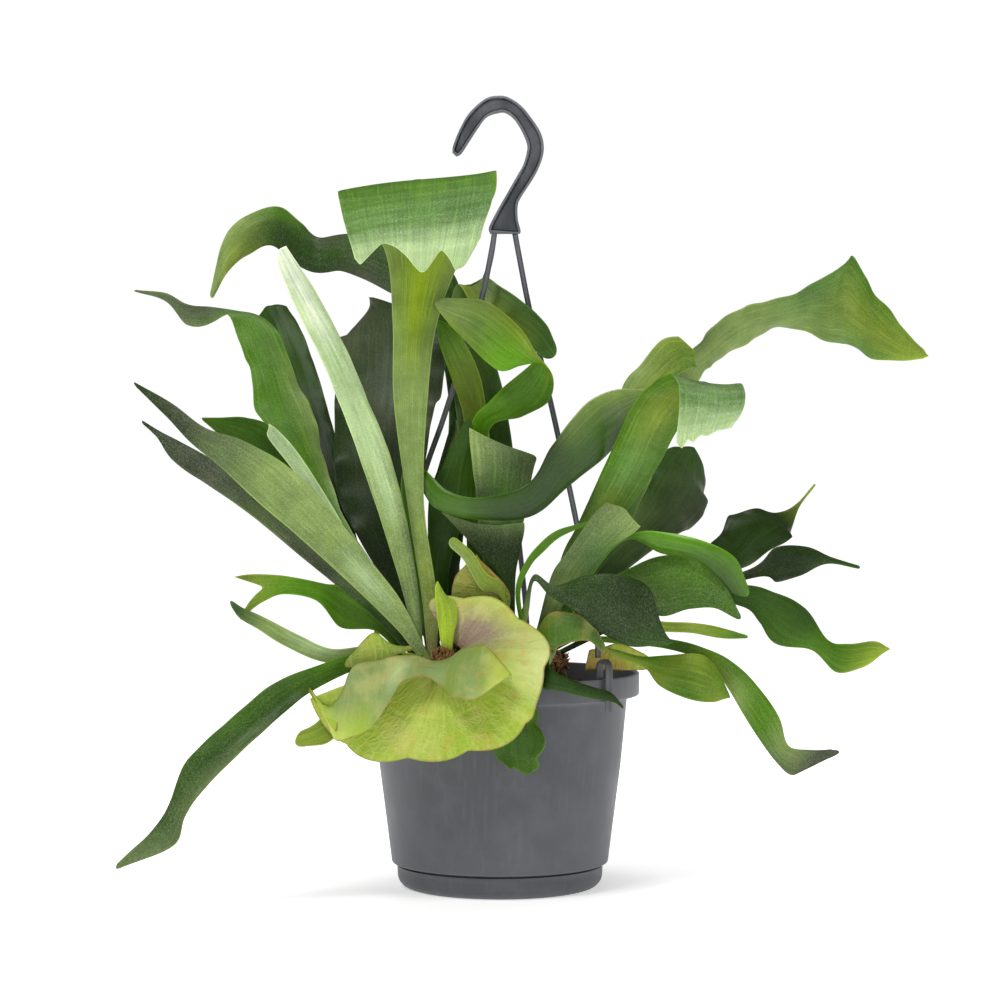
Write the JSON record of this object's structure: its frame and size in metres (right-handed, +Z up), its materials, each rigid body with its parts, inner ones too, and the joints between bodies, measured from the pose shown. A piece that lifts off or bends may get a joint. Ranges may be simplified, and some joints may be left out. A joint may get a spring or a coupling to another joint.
{
  "type": "potted staghorn fern",
  "caption": "Staghorn fern with antler and shield fronds in a dark grey plastic hanging pot with saucer and hook hanger.",
  "frame": {"origin": "centre of the saucer's flat underside, where the pot stands", "axes": "+Z up along the pot's axis, -Y toward the side with the round shield frond, +X to the right seen from that side"},
  "size_m": [0.4989, 0.3171, 0.4816],
  "materials": {
    "pot_plastic": "satin",
    "hanger_plastic": "satin",
    "bark_mix": "rough",
    "rhizome_scales": "rough",
    "frond_green": "satin",
    "frond_deep_green": "satin",
    "frond_silver_green": "matte",
    "shield_frond": "satin"
  },
  "bodies": {
    "root": {"pot": "pot_plastic", "saucer": "pot_plastic", "potting_mix": "bark_mix", "hanging_hook": "hanger_plastic", "hanger_strand_left": "hanger_plastic", "hanger_strand_right": "hanger_plastic", "hanger_strand_back": "hanger_plastic", "rim_clip_right": "hanger_plastic", "rim_clip_left": "hanger_plastic", "rim_clip_back": "hanger_plastic", "rhizome_left": "rhizome_scales", "rhizome_centre": "rhizome_scales", "rhizome_right": "rhizome_scales", "tall_centre_frond": "frond_green", "silver_strap_frond": "frond_silver_green", "broad_left_frond": "frond_silver_green", "lower_left_frond": "frond_deep_green", "upper_left_frond": "frond_green", "upper_left_back_frond": "frond_deep_green", "left_back_lobe_frond": "frond_green", "narrow_silver_frond": "frond_silver_green", "dark_centre_left_frond": "frond_deep_green", "arching_top_left_frond": "frond_green", "forked_left_frond": "frond_green", "narrow_left_frond": "frond_green", "drooping_left_frond": "frond_deep_green", "small_drooping_left_frond": "frond_deep_green", "arching_top_right_frond": "frond_deep_green", "curled_centre_frond": "frond_green", "centre_strap_frond": "frond_green", "dark_tip_frond": "frond_deep_green", "centre_green_frond": "frond_green", "mitten_tip_frond": "frond_silver_green", "glossy_wave_frond": "frond_deep_green", "rolled_lip_frond": "frond_silver_green", "small_rolled_frond": "frond_silver_green", "narrow_arching_frond": "frond_green", "right_channel_frond": "frond_green", "right_hump_frond": "frond_green", "far_right_frond": "frond_green", "dark_round_back_frond": "frond_deep_green", "grey_fan_frond": "frond_silver_green", "glossy_right_frond": "frond_deep_green", "speckled_front_frond": "frond_deep_green", "grey_right_frond": "frond_silver_green", "thin_right_frond": "frond_green", "twisted_right_frond": "frond_deep_green", "upper_right_dark_frond": "frond_deep_green", "pointed_right_dark_frond": "frond_deep_green", "lower_right_pale_frond": "frond_green", "drooping_right_frond": "frond_green", "over_rim_frond": "frond_green", "pot_front_frond": "frond_deep_green", "round_shield": "shield_frond", "folded_shield_lobe": "shield_frond", "cone_shield": "shield_frond", "young_upright_frond": "frond_green", "upright_shield": "shield_frond", "arching_right_shield": "shield_frond", "small_orange_shield": "shield_frond"}
  },
  "joints": []
}
